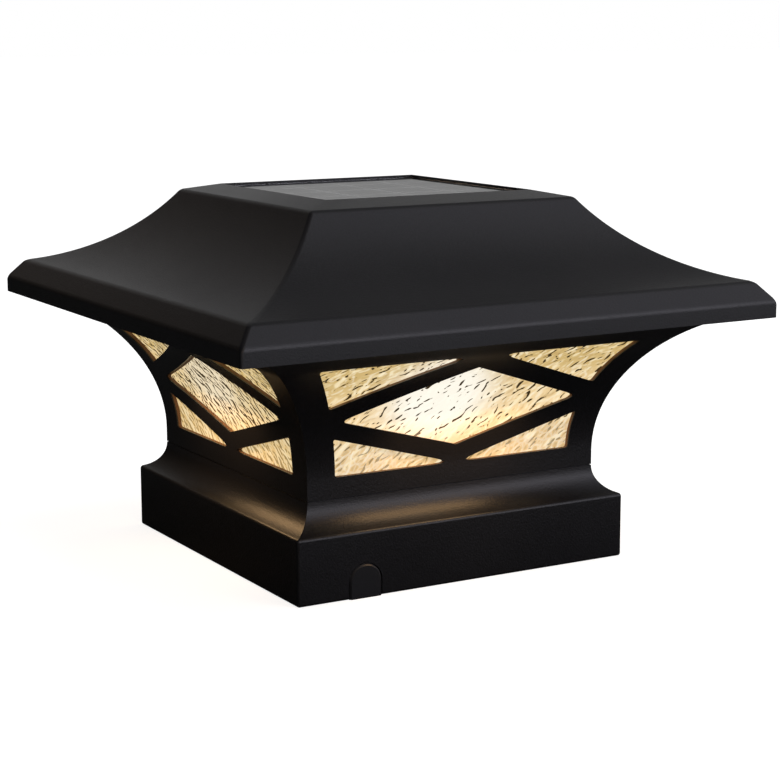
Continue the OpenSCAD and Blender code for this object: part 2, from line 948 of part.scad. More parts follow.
// The housing: a tray with a flange, a bay for the cells and posts for the board.
module module_housing() {
    color("#d9d9d6")
    difference() {
        union() {
            difference() {
                union() {
                    block(housing_half, housing_bottom, housing_top);
                    block(flange_out, ceiling_top, flange_top);
                }
                block(housing_in, floor_top, housing_top + cut);
            }
            difference() {
                translate([-bay_len - bay_wall, bay_front - bay_wall, floor_top - seat_gap])
                    cube([
                        2 * (bay_len + bay_wall),
                        housing_in - bay_front + bay_wall + seat_gap,
                        bay_top + bay_wall - floor_top + seat_gap
                    ]);
                translate([-bay_len, bay_front, floor_top - cut])
                    cube([2 * bay_len, housing_in - bay_front, bay_top - floor_top + cut]);
            }
            for (x = [-1, 1])
                for (y = board_screw_ys)
                    translate([x * board_screw_x, y, floor_top - seat_gap])
                        cylinder(r = board_post_r, h = board_z - floor_top + seat_gap);
            hinge_lugs();
        }
        translate([-bay_len, bay_front, housing_bottom - cut])
            cube([2 * bay_len, housing_in - bay_front, housing_wall + 2 * cut]);
        translate([-door_opening_x, bay_front, housing_bottom - cut])
            cube([2 * door_opening_x, housing_in - bay_front, door_t + cut + knuckle_gap]);
        translate([-door_opening_x, hinge_y - knuckle_r - knuckle_gap, housing_bottom - cut])
            cube([
                2 * door_opening_x,
                2 * knuckle_r + knuckle_gap + seat_gap,
                hinge_z + knuckle_r + door_gap - housing_bottom + cut
            ]);
        translate([-pin_half - seat_gap, hinge_y, hinge_z])
            rotate([0, 90, 0])
                cylinder(d = hinge_pin_d + 2 * fit, h = 2 * (pin_half + seat_gap));
        translate([0, led_y, housing_bottom - cut])
            cylinder(r = lens_hole_r, h = housing_wall + 2 * cut);
        translate([switch_at.x, switch_at.y, housing_bottom])
            cube([knob_slot_x, knob_slot_y, 4 * housing_wall], center = true);
        at_corners(module_screw_x)
            translate([0, 0, ceiling_top - cut])
                cylinder(d = screw_d + 2 * slip, h = housing_flange_t + 2 * cut);
        for (x = [-1, 1])
            for (y = board_screw_ys)
                translate([x * board_screw_x, y, board_z - board_screw_bite - hole_spare])
                    cylinder(d = small_screw_d + 2 * fit, h = board_screw_bite + hole_spare + cut);
        for (x = [-battery_lead_x, battery_lead_x])
            translate([x, battery_lead_y, bay_top - cut])
                cylinder(r = lead_r + slip, h = bay_wall + 2 * cut);
    }
}

module housing_seal() {
    color("#101010")
    difference() {
        block(housing_half, housing_top, crown_under);
        block(housing_in, housing_top - cut, crown_under + cut);
    }
}

// The screws up through ceiling and housing into the roof's inner bosses.
module module_screws() {
    color("#a9a9ad")
    at_corners(module_screw_x)
        translate([0, 0, frame_top])
            screw_up(
                screw_d, screw_head_d, screw_head_h,
                ceiling_t + housing_flange_t + module_screw_bite
            );
}

// Two rechargeable cells side by side, laid opposite ways.
module battery_cells() {
    button_h = 1;
    button_d = 5.5;
    color("#3f7f4a")
    for (i = [0, 1])
        translate([0, cell_y - i * cell_pitch, cell_z])
            rotate([0, i * 180, 0])
                rotate([0, 90, 0])
                    translate([0, 0, -cell_len / 2]) {
                        cylinder(d = cell_d, h = cell_len - button_h);
                        cylinder(d = button_d, h = cell_len);
                    }
}

// A contact at each end of each cell: a flat plate and a bowed leaf on it.
module battery_contacts() {
    plate = [0.5, 11, 12];
    leaf_t = 0.4;
    leaf_w = 8;
    bow = contact_room - plate.x - seat_gap;
    bow_half = 4.6;
    bow_r = (pow(bow_half, 2) + pow(bow, 2)) / (2 * bow);
    color("#c9c9cc")
    for (i = [0, 1])
        for (turn = [0, 180])
            translate([0, cell_y - i * cell_pitch, cell_z])
                rotate([0, 0, turn])
                    translate([bay_len - plate.x, 0, 0]) {
                        translate([0, -plate.y / 2, -plate.z / 2])
                            cube(plate);
                        intersection() {
                            translate([bow_r - bow, 0, 0])
                                difference() {
                                    cylinder(r = bow_r, h = leaf_w, center = true);
                                    cylinder(r = bow_r - leaf_t, h = leaf_w + cut, center = true);
                                }
                            translate([-bow - cut, -bow_half, -leaf_w])
                                cube([bow + cut + slip, 2 * bow_half, 2 * leaf_w]);
                        }
                    }
}

// The battery door: plate, two knuckles, a finger notch and a snap tongue.
module battery_door() {
    tongue = [10, 1.2, 3.4];
    tongue_in = 0.5;
    notch_r = 7;
    notch_w = 14;
    notch_in = 2;
    notch_drop = 6;
    color("#d2d2cf")
    difference() {
        union() {
            translate([-door_x, door_front, housing_bottom])
                cube([2 * door_x, hinge_y - knuckle_r - door_gap - door_front, door_t]);
            for (side = [-1, 1])
                translate([side * (knuckle_x + knuckle_len / 2), 0, 0]) {
                    translate([0, hinge_y, hinge_z])
                        rotate([0, 90, 0])
                            cylinder(r = knuckle_r, h = knuckle_len, center = true);
                    translate([-knuckle_len / 2, door_front + cut, housing_bottom])
                        cube([knuckle_len, hinge_y - door_front - cut, door_t]);
                }
            translate([-tongue.x / 2, door_front + tongue_in, housing_bottom + door_t - seat_gap])
                cube([tongue.x, tongue.y, tongue.z + seat_gap]);
        }
        translate([-reach / 2, hinge_y, hinge_z])
            rotate([0, 90, 0])
                cylinder(d = hinge_pin_d + 2 * slip, h = reach);
        translate([0, door_front + notch_in, housing_bottom - notch_drop])
            rotate([0, 90, 0])
                cylinder(r = notch_r, h = notch_w, center = true);
    }
}

module door_hinge_pin() {
    color("#b5b5b8")
    translate([-pin_half, hinge_y, hinge_z])
        rotate([0, 90, 0])
            cylinder(d = hinge_pin_d, h = 2 * pin_half);
}

// ---- Electronics ----

// The control board on its four posts.
module control_board() {
    color("#1f5a34")
    difference() {
        translate([-board_x, board_front, board_z])
            cube([2 * board_x, board_back - board_front, board_t]);
        for (x = [-1, 1])
            for (y = board_screw_ys)
                translate([x * board_screw_x, y, board_z - cut])
                    cylinder(d = small_screw_d + 2 * slip, h = board_t + 2 * cut);
    }
}

// The parts soldered on the control board: controller, inductor, capacitor and diode.
module board_parts() {
    color("#2b2b2d")
    translate([0, 0, board_top]) {
        translate(controller_at)
            cube(controller);
        translate(inductor_at)
            cylinder(d = inductor_d, h = inductor_h);
        translate(capacitor_at)
            cylinder(d = capacitor_d, h = capacitor_h);
        translate(diode_at)
            cube(diode);
    }
}

module board_screws() {
    color("#a9a9ad")
    for (x = [-1, 1])
        for (y = board_screw_ys)
            translate([x * board_screw_x, y, board_top])
                mirror([0, 0, 1])
                    screw_up(
                        small_screw_d, small_head_d, small_head_h,
                        board_t + board_screw_bite
                    );
}

module led_board() {
    color("#f1f1ee")
    translate([0, led_y, led_board_z])
        cylinder(d = led_board_d, h = led_board_t);
}

// A ring of light emitters under the LED board.
module led_emitters() {
    color("#ffd98a")
    for (i = [0:led_n - 1])
        translate([0, led_y, led_board_z - emitter.z])
            rotate([0, 0, i * 360 / led_n])
                translate([emitter_in, -emitter.y / 2, 0])
                    cube(emitter);
}

// The frosted dome: a flange on the housing's floor, a neck and a round cap.
module led_diffuser() {
    cap_r = (pow(lens_neck_r, 2) + pow(dome_depth, 2)) / (2 * dome_depth);
    cap_z = housing_bottom - dome_depth + cap_r;
    color("#fff3d0")
    translate([0, led_y, 0])
    difference() {
        union() {
            translate([0, 0, floor_top])
                cylinder(d = led_board_d, h = lens_flange_t);
            translate([0, 0, housing_bottom])
                cylinder(r = lens_neck_r, h = housing_wall + cut / 2);
            intersection() {
                translate([0, 0, cap_z])
                    sphere(cap_r);
                translate([0, 0, housing_bottom - dome_depth - cut])
                    cylinder(r = lens_neck_r, h = dome_depth + 2 * cut);
            }
        }
        intersection() {
            translate([0, 0, cap_z])
                sphere(cap_r - lens_wall);
            translate([0, 0, housing_bottom - dome_depth])
                cylinder(r = lens_neck_r - lens_wall, h = dome_depth + cut / 2);
        }
        translate([0, 0, housing_bottom])
            cylinder(r = lens_neck_r - lens_wall, h = housing_wall + lens_flange_t + cut);
    }
}

// The switch body, hollow below so that the slider runs in it.
module power_switch() {
    low = [switch_at.x, switch_at.y, floor_top];
    inner = [
        slider_base.x + switch_travel + 2 * seat_gap,
        slider_base.y + 2 * slip,
        slider_base_z + slider_base.z + slip - floor_top
    ];
    color("#3a3a3c")
    difference() {
        translate(low + [-switch_body.x / 2, -switch_body.y / 2, 0])
            cube(switch_body);
        translate(low + [-inner.x / 2, -inner.y / 2, slider_lift - slider_play])
            cube([inner.x, inner.y, inner.z]);
        translate(low)
            cube([knob_slot_x, knob_slot_y, 2 * slider_lift + cut], center = true);
    }
}

// The slider at rest at the ON end of its travel.
module switch_slider() {
    at = [switch_at.x - switch_travel / 2, switch_at.y];
    knob_bottom = housing_bottom - knob_proud;
    color("#e8e8e6") {
        translate([at.x - knob_len / 2, at.y - knob_w / 2, knob_bottom])
            cube([knob_len, knob_w, slider_base_z + slider_base.z / 2 - knob_bottom]);
        translate([at.x - slider_base.x / 2, at.y - slider_base.y / 2, slider_base_z])
            cube(slider_base);
    }
}

// ---- Leads ----

// Two straight leads from the panel down to the control board.
module panel_leads() {
    color("#8a1d1d")
    for (side = [-1, 1])
        translate([side * lead_x, lead_y, board_top])
            cylinder(r = lead_r, h = seal_top - board_top);
}

// A lead that rises, runs across in Y and comes down, with an even bend at each corner.
module bridge_lead(near, far, z_near, z_far, z_top) {
    bend_r = min(lead_bend_r, (far - near) / 2);
    translate([0, near, z_near])
        cylinder(r = lead_r, h = z_top - bend_r - z_near);
    translate([0, far, z_far])
        cylinder(r = lead_r, h = z_top - bend_r - z_far);
    translate([0, near + bend_r, z_top])
        rotate([-90, 0, 0])
            cylinder(r = lead_r, h = far - near - 2 * bend_r);
    for (end = [[far - bend_r, 0], [near + bend_r, 90]])
        translate([0, end[0], z_top - bend_r])
            rotate([90, 0, 90])
                rotate([0, 0, end[1]])
                    rotate_extrude(angle = 90)
                        translate([bend_r, 0])
                            circle(lead_r, $fn = 24);
}

// Leads from the cell contacts, over the bay and down to the control board.
module battery_leads() {
    color("#232323")
    for (x = [-battery_lead_x, battery_lead_x])
        translate([x, 0, 0])
            bridge_lead(
                board_back - board_screw_in, battery_lead_y,
                board_top, bay_top, bay_top + bay_wall + lead_rise
            );
}

// Leads from the LED board up and over to the control board.
module led_leads() {
    color("#d8d8d8")
    for (side = [-1, 1])
        translate([side * led_lead_x, 0, 0])
            bridge_lead(
                board_back - 2 * lead_r, led_lead_y,
                board_top, led_board_z + led_board_t, board_top + lead_rise
            );
}

// The rubber grommet in the crown that the panel leads pass through.
module lead_grommet() {
    color("#151515")
    difference() {
        union() {
            translate([0, lead_y, crown_under])
                cylinder(r = grommet_r - fit, h = roof_wall);
            translate([0, lead_y, crown_under - grommet_lip])
                cylinder(r = grommet_r + grommet_lip, h = grommet_lip);
        }
        for (side = [-1, 1])
            translate([side * lead_x, lead_y, crown_under - grommet_lip - cut])
                cylinder(r = lead_r + slip, h = roof_wall + grommet_lip + 2 * cut);
    }
}

base_collar();
screw_cover(0);  // screw_cover_front
screw_cover(180);  // screw_cover_back
lantern_frame();
frame_screws();
pane(0);  // pane_front
pane(90);  // pane_right
pane(180);  // pane_back
pane(270);  // pane_left
pane_strips();
strip_screws();
roof_shell();
roof_screws();
solar_glass();
solar_cells();
panel_backing();
panel_seal();
ceiling_plate();
module_housing();
housing_seal();
module_screws();
battery_cells();
battery_contacts();
battery_door();
door_hinge_pin();
control_board();
board_parts();
board_screws();
led_board();
led_emitters();
led_diffuser();
power_switch();
switch_slider();
panel_leads();
battery_leads();
led_leads();
lead_grommet();
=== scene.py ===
"""Looks of the deck post cap light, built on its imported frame."""
import json
import math

import bmesh
import bpy
from mathutils import Matrix, Vector, noise

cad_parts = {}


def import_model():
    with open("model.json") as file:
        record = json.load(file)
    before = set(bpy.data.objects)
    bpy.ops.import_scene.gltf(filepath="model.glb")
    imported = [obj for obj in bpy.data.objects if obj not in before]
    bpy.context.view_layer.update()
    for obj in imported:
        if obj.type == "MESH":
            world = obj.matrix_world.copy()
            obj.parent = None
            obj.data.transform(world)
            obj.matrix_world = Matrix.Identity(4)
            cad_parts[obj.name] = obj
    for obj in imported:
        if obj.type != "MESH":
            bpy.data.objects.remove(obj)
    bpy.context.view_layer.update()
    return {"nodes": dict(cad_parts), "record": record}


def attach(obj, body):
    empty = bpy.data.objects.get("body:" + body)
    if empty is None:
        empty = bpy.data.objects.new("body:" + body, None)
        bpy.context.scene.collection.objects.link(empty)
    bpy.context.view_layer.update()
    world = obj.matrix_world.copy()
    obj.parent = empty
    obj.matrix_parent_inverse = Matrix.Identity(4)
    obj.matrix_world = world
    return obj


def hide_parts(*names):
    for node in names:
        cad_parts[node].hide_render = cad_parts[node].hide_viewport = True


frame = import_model()

MM = 0.001
TURNS = {"front": 0, "right": 90, "back": 180, "left": 270}
# How each pane's glass and its painted glow look: how its ripples lean, in degrees, how far
# they stretch, how fine they are and how they wander, how steep one has to be to get painted
# shade, how white the painted glow in the middle is and how golden the rest of the painted glow
# is
RIPPLES = {
    "front": {"lean": 38, "stretch": 0.42, "fine": 330, "wander": 1.2,
              "steep": 0.130, "white": 0.85, "gold": 0.1},
    "right": {"lean": 34, "stretch": 0.40, "fine": 350, "wander": 1.2,
              "steep": 0.12, "white": 0.7, "gold": 0.2},
    "back": {"lean": 44, "stretch": 0.42, "fine": 340, "wander": 1.1,
             "steep": 0.14, "white": 0.8, "gold": 0.1},
    "left": {"lean": -44, "stretch": 0.36, "fine": 340, "wander": 1.5,
             "steep": 0.054, "white": 0.3, "gold": 0.5},
}


def rising_arc(foot, top):
    """Centre and radius of the arc that leaves foot straight up and ends at top."""
    run, rise = top[0] - foot[0], top[1] - foot[1]
    radius = (run * run + rise * rise) / (2 * run)
    return (foot[0] + radius, foot[1]), radius


# Sizes in millimetres, as the solids have them. A pair is half a width and a height.

# Collar
SKIRT = 74.0
SKIRT_INSIDE = 70.8
ARRIS = (SKIRT, 25.85)
HIP_ROUND = 2.5
POST_LEDGE = (60.0, 22.4)
LEDGE_TOP = (67.5, 25.4)
SEAM = 37.1
COVE_CENTRE = (76.4, SEAM)
COVE_INSIDE = (62.01, 34.1)
COLLAR_MOUTH = 54.7

# Covers on the skirt: a cut's width, the height of its top, and its start and end in Y
COVER_X = 45.2
COVER_POCKET = (14.5, 13.55, -75, -73.2)
COVER_GROOVE = (15.7, 14.15, -73.21, -72.4)

# The hole behind a cover: its height and radius, and its start and end in Y
FIXING_HOLE = (6.8, 2.3, -73.0, -70.0)

# Lantern frame
NECK = 64.9
GROOVE = 0.4
FRAME_TOP = 102.1
FRAME_WALL = 2.0
FRAME_FOOT = 40.1
FLARE_FOOT = (NECK, 43.3)
FLARE_TOP = (103.5, 99.8)
FLARE_CENTRE, FLARE_R = rising_arc(FLARE_FOOT, FLARE_TOP)
FLANGE = 112.8
ROOF_SCREW = 109.2

# Windows: the cut's start and end in Y, the rounding of a corner, and the lattice's lines
WINDOW_CUT = (-125, -56)
WINDOW_ROUND = 1.3
WINDOW_LOW, WINDOW_HIGH = 45.6, 90.8
BAR = 7.0
DIAMOND_SIDE = (53.8, 67.7)
DIAMOND_PEAK, DIAMOND_FOOT = 85.5, 52.8
POST_LOW = (NECK - 11.8, 44.3)
POST_HIGH = 16.3

# Screws' bosses and seats: how low and how high, and how wide at the foot and the top
SCREW_SEAT = (99.7, 100.9, 2.8, 1.6)
COLLAR_SCREW = 57.5
COLLAR_BOSS = (39.9, 45.0, 2.6)
ROOF_BOSS = (FRAME_TOP, 109.8, 3.2)
PLATE_SCREW = 51.0
PLATE_BOSS = (106.1, 142.4, 4.0)

# Panes
PANE_LOW, PANE_HIGH = 40.35, 97.8
PANE_INSET = 2.5
PANE_END = 5.05
PANE_WALL = 1.6
DIMPLE, RIPPLE = 0.16, 0.09

# Roof
LIP = (116.1, 100.0)
EAVE = (116.1, 106.6)
SLOPE_FOOT = (109.9, 113.9)
OGEE_CENTRE = (124.69, 194.05)
CROWN = (59.3, 145.4)
RIM = (46.2, 148.1)
TRAY_FLOOR = 142.6
TRAY_INSIDE = (49.2, 139.6)
TRAY_SHOULDER = (49.2, 144.42)
SLOPE_INSIDE = ((57.59, 142.69), (108.29, 111.16))
EAVE_INSIDE = (113.1, 105.5)
SHOULDER_ROUND = 1.3

# Rounding of small edges, and how near two points are one
EDGE = 0.3
RIM_EDGE = 0.35
NEAR = 0.01
MEET = 0.02


# ---- Shader helpers ----

class Value:
    """A shader socket that can stand in a Python expression."""

    def __init__(self, finish, socket):
        self.finish = finish
        self.socket = socket

    def math(self, operation, *others):
        """A Math node on this value and others."""
        return self.finish.node(
            "ShaderNodeMath", {"operation": operation}, [self, *others], "Value"
        )

    def __add__(self, other):
        return self.math("ADD", other)

    def __radd__(self, other):
        return self.math("ADD", other)

    def __sub__(self, other):
        return self.math("SUBTRACT", other)

    def __rsub__(self, other):
        return self.finish.node(
            "ShaderNodeMath", {"operation": "SUBTRACT"}, [other, self], "Value"
        )

    def __mul__(self, other):
        return self.math("MULTIPLY", other)

    def __rmul__(self, other):
        return self.math("MULTIPLY", other)

    def __truediv__(self, other):
        return self.math("DIVIDE", other)

    def over(self, low, high):
        """0 below low, 1 above high, and smooth between."""
        return self.finish.node(
            "ShaderNodeMapRange", {"interpolation_type": "SMOOTHSTEP"},
            {"Value": self, "From Min": low, "From Max": high}, "Result"
        )


class Finish:
    """One procedural material round one Principled shader."""

    def __init__(self, name, **constants):
        self.material = bpy.data.materials.new(name)
        self.material.use_nodes = True
        self.tree = self.material.node_tree
        self.shader = self.tree.nodes["Principled BSDF"]
        for socket, value in constants.items():
            self.shader.inputs[socket.replace("_", " ")].default_value = value

    def node(self, kind, settings=None, inputs=(), output=0):
        made = self.tree.nodes.new(kind)
        for key, value in (settings or {}).items():
            setattr(made, key, value)
        pairs = inputs.items() if isinstance(inputs, dict) else enumerate(inputs)
        for key, value in pairs:
            if isinstance(value, Value):
                self.tree.links.new(value.socket, made.inputs[key])
            else:
                made.inputs[key].default_value = value
        return Value(self, made.outputs[output])

    def place(self):
        return self.node("ShaderNodeTexCoord", output="Object")

    def mapping(self, vector, rotation=(0, 0, 0), scale=(1, 1, 1)):
        return self.node(
            "ShaderNodeMapping", {},
            {"Vector": vector, "Rotation": rotation, "Scale": scale}, "Vector"
        )

    def noise(self, vector, scale, detail=2.0, roughness=0.5, distortion=0.0):
        return self.node(
            "ShaderNodeTexNoise", {},
            {"Vector": vector, "Scale": scale, "Detail": detail,
             "Roughness": roughness, "Distortion": distortion}, "Fac"
        )

    def cells(self, vector, scale, feature="F1"):
        return self.node(
            "ShaderNodeTexVoronoi", {"feature": feature},
            {"Vector": vector, "Scale": scale}, "Distance"
        )

    def axis(self, vector, name):
        """One of a vector's three numbers."""
        return self.node("ShaderNodeSeparateXYZ", {}, [vector], name)

    def mix(self, share, low, high):
        """A colour between low and high."""
        made = self.node(
            "ShaderNodeMix", {"data_type": "RGBA"}, {"Factor": share}, 2
        )
        for index, colour in ((6, low), (7, high)):
            if isinstance(colour, Value):
                self.tree.links.new(colour.socket, made.socket.node.inputs[index])
            else:
                made.socket.node.inputs[index].default_value = (*colour, 1)
        return made

    def feed(self, socket, value):
        """Links a value to a socket of the shader."""
        self.tree.links.new(value.socket, self.shader.inputs[socket])

    def bump(self, height, depth):
        """Relief of that depth in metres."""
        relief = {"Height": height, "Distance": depth, "Strength": 1.0}
        self.feed("Normal", self.node("ShaderNodeBump", {}, relief, "Normal"))


# ---- Finishes ----

def powder_coat(lit=False):
    """Satin black coat with the fine pebble of baked powder; lit is for the lattice, whose
    window reveals get the panes' warm light painted on.
    """
    name = "lattice_coat_painted_glow" if lit else "powder_coat"
    f = Finish(name, Specular_IOR_Level=0.36)
    place = f.place()
    pebble = f.noise(place, 1300, 3, 0.6)
    drift = f.noise(place, 22, 3)
    colour = f.mix(drift, (0.0045, 0.0045, 0.0056), (0.0085, 0.0080, 0.0092))
    rough = 0.25 + 0.08 * drift + 0.10 * pebble
    if lit:
        # Painted light: the panes' warm glow is painted on the window reveals as a bronze
        # colour
        reveal_glow = window_reveal(f, place)
        colour = f.mix(reveal_glow, colour, (0.17, 0.088, 0.042))
        upper = f.axis(place, "Z").over(0.089, 0.094)
        rough = rough + 0.4 * reveal_glow.math("MAXIMUM", upper)
    f.feed("Base Color", colour)
    f.feed("Roughness", rough)
    f.bump(pebble, 0.0001)
    return f.material


def window_reveal(f, place):
    """1 behind the lattice's outer face, where the panes' warm light is painted into the coat's
    colour.
    """
    x, y = (f.axis(place, name).math("ABSOLUTE") for name in "XY")
    across = x.math("MAXIMUM", y)
    run = FLARE_CENTRE[0] * MM - across
    rise = f.axis(place, "Z") - FLARE_CENTRE[1] * MM
    inset = (run * run + rise * rise).math("SQRT") - FLARE_R * MM
    return inset.over(0.35 * MM, 0.8 * MM) * rise.over(0, 2 * MM)


def cover_plastic():
    f = Finish("cover_plastic", Specular_IOR_Level=0.3)
    grain = f.noise(f.place(), 2200, 2)
    f.feed("Base Color", f.mix(grain, (0.010, 0.010, 0.012), (0.016, 0.016, 0.018)))
    f.feed("Roughness", 0.34 + 0.1 * grain)
    f.bump(grain, 0.00003)
    return f.material


def pane_glass(turn, lean, stretch, fine, wander, steep, white, gold):
    """Hammered glass whose warm inner light is painted into its emission; ripples steeper than
    steep get painted shade.

    The lower windows have a paler crackle towards their outer ends.
    """
    glow_x, glow_z, glow_width, glow_height = -0.010, 0.074, 0.025, 0.018
    f = Finish(f"pane_glass_{turn}", Specular_IOR_Level=0.35, Emission_Strength=1.0)
    local = f.mapping(f.place(), rotation=(0, 0, -math.radians(turn)))
    leaning = f.mapping(local, rotation=(0, math.radians(lean), 0))

    def ripple(share, scale, shift, wander):
        """A ripple's height, and how much it falls over that shift."""
        along = f.mapping(leaning, scale=(share, 1, 1))
        moved = f.node(
            "ShaderNodeVectorMath", {"operation": "ADD"}, [along, (0, 0, shift)], "Vector"
        )
        crest = f.noise(along, scale, 1.0, 0.5, wander)
        return crest, f.noise(moved, scale, 1.0, 0.5, wander) - crest

    crest, fall = ripple(stretch, fine, 0.0009, wander)
    swell, slope = ripple(0.55, 190, 0.0015, 0.6)
    x = f.axis(local, "X")
    z = f.axis(local, "Z")
    swirl = f.cells(f.mapping(leaning, scale=(0.7, 0.2, 1.3)), 420, "DISTANCE_TO_EDGE")
    away_x = (x - glow_x) / glow_width
    away_z = (z - glow_z) / glow_height
    glow = (0 - (away_x * away_x + away_z * away_z)).math("EXPONENT")
    low = 1 - z.over(0.052, 0.062)
    # Painted glow: golden glass, warmer low down, with painted highlights and painted shade on
    # the sides of its swells and ripples
    light = f.mix(z.over(0.066, 0.086), (0.88, 0.66, 0.37), (0.60, 0.43, 0.17))
    light = f.mix(low, light, (0.68, 0.47, 0.23))
    light = f.mix(slope.over(0.02, 0.16) * 0.7, light, (1.0, 0.88, 0.60))
    light = f.mix((0 - slope).over(0.03, 0.2) * 0.5, light, (0.46, 0.29, 0.10))
    light = f.mix((0 - fall).over(steep * 0.2, steep * 1.6) * 0.5, light, (1.0, 0.93, 0.74))
    light = f.mix(fall.over(steep * 0.5, steep) * 0.4, light, (0.44, 0.29, 0.10))
    light = f.mix(gold, light, (0.60, 0.43, 0.15))
    # The crackle, the painted white hot spot in front of the light, and the painted dark
    # strokes
    crackle = low * x.math("ABSOLUTE").over(0.010, 0.032) * max(0.0, 1 - 2 * gold)
    light = f.mix(crackle * swirl.over(0.15, 0.40) * 0.6, light, (0.36, 0.29, 0.18))
    light = f.mix(crackle * (1 - swirl.over(0.03, 0.16)) * 0.55, light, (0.74, 0.70, 0.60))
    light = f.mix(glow.over(0.08, 0.80) * white, light, (1.0, 0.98, 0.90))
    dark = fall.over(steep, steep * 1.25) * (1 - 0.5 * low)
    light = f.mix(dark, light, (0.038, 0.024, 0.008))
    f.feed("Emission Color", light)
    # Painted shade: the dark strokes darken the base colour too
    f.feed("Base Color", f.mix(dark, (0.30, 0.24, 0.15), (0.03, 0.02, 0.012)))
    f.feed("Roughness", 0.16 + 0.2 * swell)
    f.bump(crest, 0.0003)
    return f.material


def screw_steel():
    f = Finish("screw_steel", Metallic=1.0)
    scratch = f.noise(f.mapping(f.place(), scale=(1, 0.1, 1)), 1800, 3)
    f.feed("Base Color", f.mix(scratch, (0.46, 0.46, 0.48), (0.66, 0.66, 0.68)))
    f.feed("Roughness", 0.26 + 0.2 * scratch)
    f.bump(scratch, 0.00002)
    return f.material


def panel_glass():
    f = Finish("panel_glass", IOR=1.45, Transmission_Weight=1.0, Specular_IOR_Level=0.35)
    dust = f.noise(f.place(), 60, 4)
    f.feed("Base Color", f.mix(dust, (0.86, 0.88, 0.90), (0.93, 0.94, 0.95)))
    f.feed("Roughness", 0.03 + 0.05 * dust)
    return f.material


def silicon():
    """Dark blue cells with thin fingers, two busbars and a crystal mottle."""
    f = Finish("silicon", Specular_IOR_Level=0.5)
    place = f.place()
    x = f.axis(place, "X")
    y = f.axis(place, "Y")
    cell_pitch, finger_pitch = 0.02185, 0.0019
    within = (x / cell_pitch + 0.5).math("FRACT")
    left, right = (
        1 - (within - share).math("ABSOLUTE").over(0.016, 0.024) for share in (0.27, 0.73)
    )
    bar = left + right
    within = (y / finger_pitch).math("FRACT")
    finger = 1 - (within - 0.5).math("ABSOLUTE").over(0.06, 0.10)
    grain = f.cells(place, 260)
    body = f.mix(grain.over(0.1, 0.8), (0.006, 0.010, 0.030), (0.016, 0.026, 0.070))
    body = f.mix(finger * 0.55, body, (0.20, 0.21, 0.23))
    f.feed("Base Color", f.mix(bar.math("MINIMUM", 1), body, (0.5, 0.5, 0.5)))
    f.feed("Roughness", 0.22 + 0.2 * grain)
    return f.material


def circuit_board(name, track, mask):
    """Solder mask with copper tracks faintly raised under it."""
    f = Finish(name, Specular_IOR_Level=0.5)
    edge = f.cells(f.place(), 220, "DISTANCE_TO_EDGE")
    f.feed("Base Color", f.mix(edge.over(0.03, 0.07), track, mask))
    f.feed("Roughness", 0.3 + 0.1 * edge)
    f.bump(edge, 0.00003)
    return f.material


def foam_rubber():
    f = Finish("foam_rubber", Roughness=0.9)
    pore = f.cells(f.place(), 2000)
    f.feed("Base Color", f.mix(pore, (0.008, 0.008, 0.008), (0.03, 0.03, 0.03)))
    f.bump(pore, 0.0001)
    return f.material


def white_plastic():
    f = Finish("white_plastic", Specular_IOR_Level=0.4)
    place = f.place()
    grain = f.noise(place, 900, 3)
    drift = f.noise(place, 25, 2)
    f.feed("Base Color", f.mix(drift, (0.76, 0.76, 0.74), (0.84, 0.84, 0.82)))
    f.feed("Roughness", 0.42 + 0.15 * grain)
    f.bump(grain, 0.00003)
    return f.material


def cell_sleeve():
    f = Finish("cell_sleeve", Specular_IOR_Level=0.5)
    sleeve_end, cap_start = 0.0232, 0.0236
    cap = f.axis(f.place(), "X").math("ABSOLUTE").over(sleeve_end, cap_start)
    f.feed("Base Color", f.mix(cap, (0.03, 0.20, 0.07), (0.6, 0.6, 0.58)))
    f.feed("Metallic", cap)
    f.feed("Roughness", 0.25 + 0.1 * f.noise(f.place(), 300))
    return f.material


def contact_plate():
    f = Finish("contact_plate", Metallic=1.0)
    plating = f.noise(f.place(), 500)
    f.feed("Base Color", f.mix(plating, (0.62, 0.61, 0.58), (0.78, 0.77, 0.74)))
    f.feed("Roughness", 0.25 + 0.15 * f.noise(f.place(), 1200))
    return f.material


def black_epoxy():
    f = Finish("black_epoxy")
    grain = f.noise(f.place(), 1600)
    f.feed("Base Color", f.mix(grain, (0.012, 0.012, 0.013), (0.03, 0.03, 0.032)))
    f.feed("Roughness", 0.45 + 0.2 * grain)
    f.bump(grain, 0.00003)
    return f.material


def emitter():
    f = Finish("emitter", Emission_Strength=4.0)
    warm = f.noise(f.place(), 900)
    f.feed("Base Color", f.mix(warm, (0.85, 0.6, 0.15), (0.95, 0.75, 0.3)))
    f.feed("Emission Color", f.mix(warm, (1.0, 0.72, 0.38), (1.0, 0.8, 0.5)))
    return f.material


def diffuser():
    """Frosted dome, brightest in its middle."""
    f = Finish("diffuser", Emission_Strength=2.5)
    place = f.place()
    radius, centre_y = 0.0083, -0.0012
    x = f.axis(place, "X") / radius
    y = (f.axis(place, "Y") - centre_y) / radius
    middle = 1 - (x * x + y * y).over(0, 1.1)
    frost = f.noise(place, 1500)
    f.feed("Base Color", f.mix(frost, (0.85, 0.8, 0.7), (0.92, 0.88, 0.78)))
    f.feed("Emission Color", f.mix(middle, (0.9, 0.62, 0.33), (1.0, 0.86, 0.62)))
    f.feed("Roughness", 0.45 + 0.2 * frost)
    return f.material


def lead_sleeve():
    f = Finish("lead_sleeve")
    dye = f.noise(f.place(), 700)
    f.feed("Base Color", f.mix(dye, (0.22, 0.02, 0.02), (0.34, 0.04, 0.03)))
    f.feed("Roughness", 0.4 + 0.1 * f.noise(f.place(), 900))
    return f.material


# ---- Shapes ----

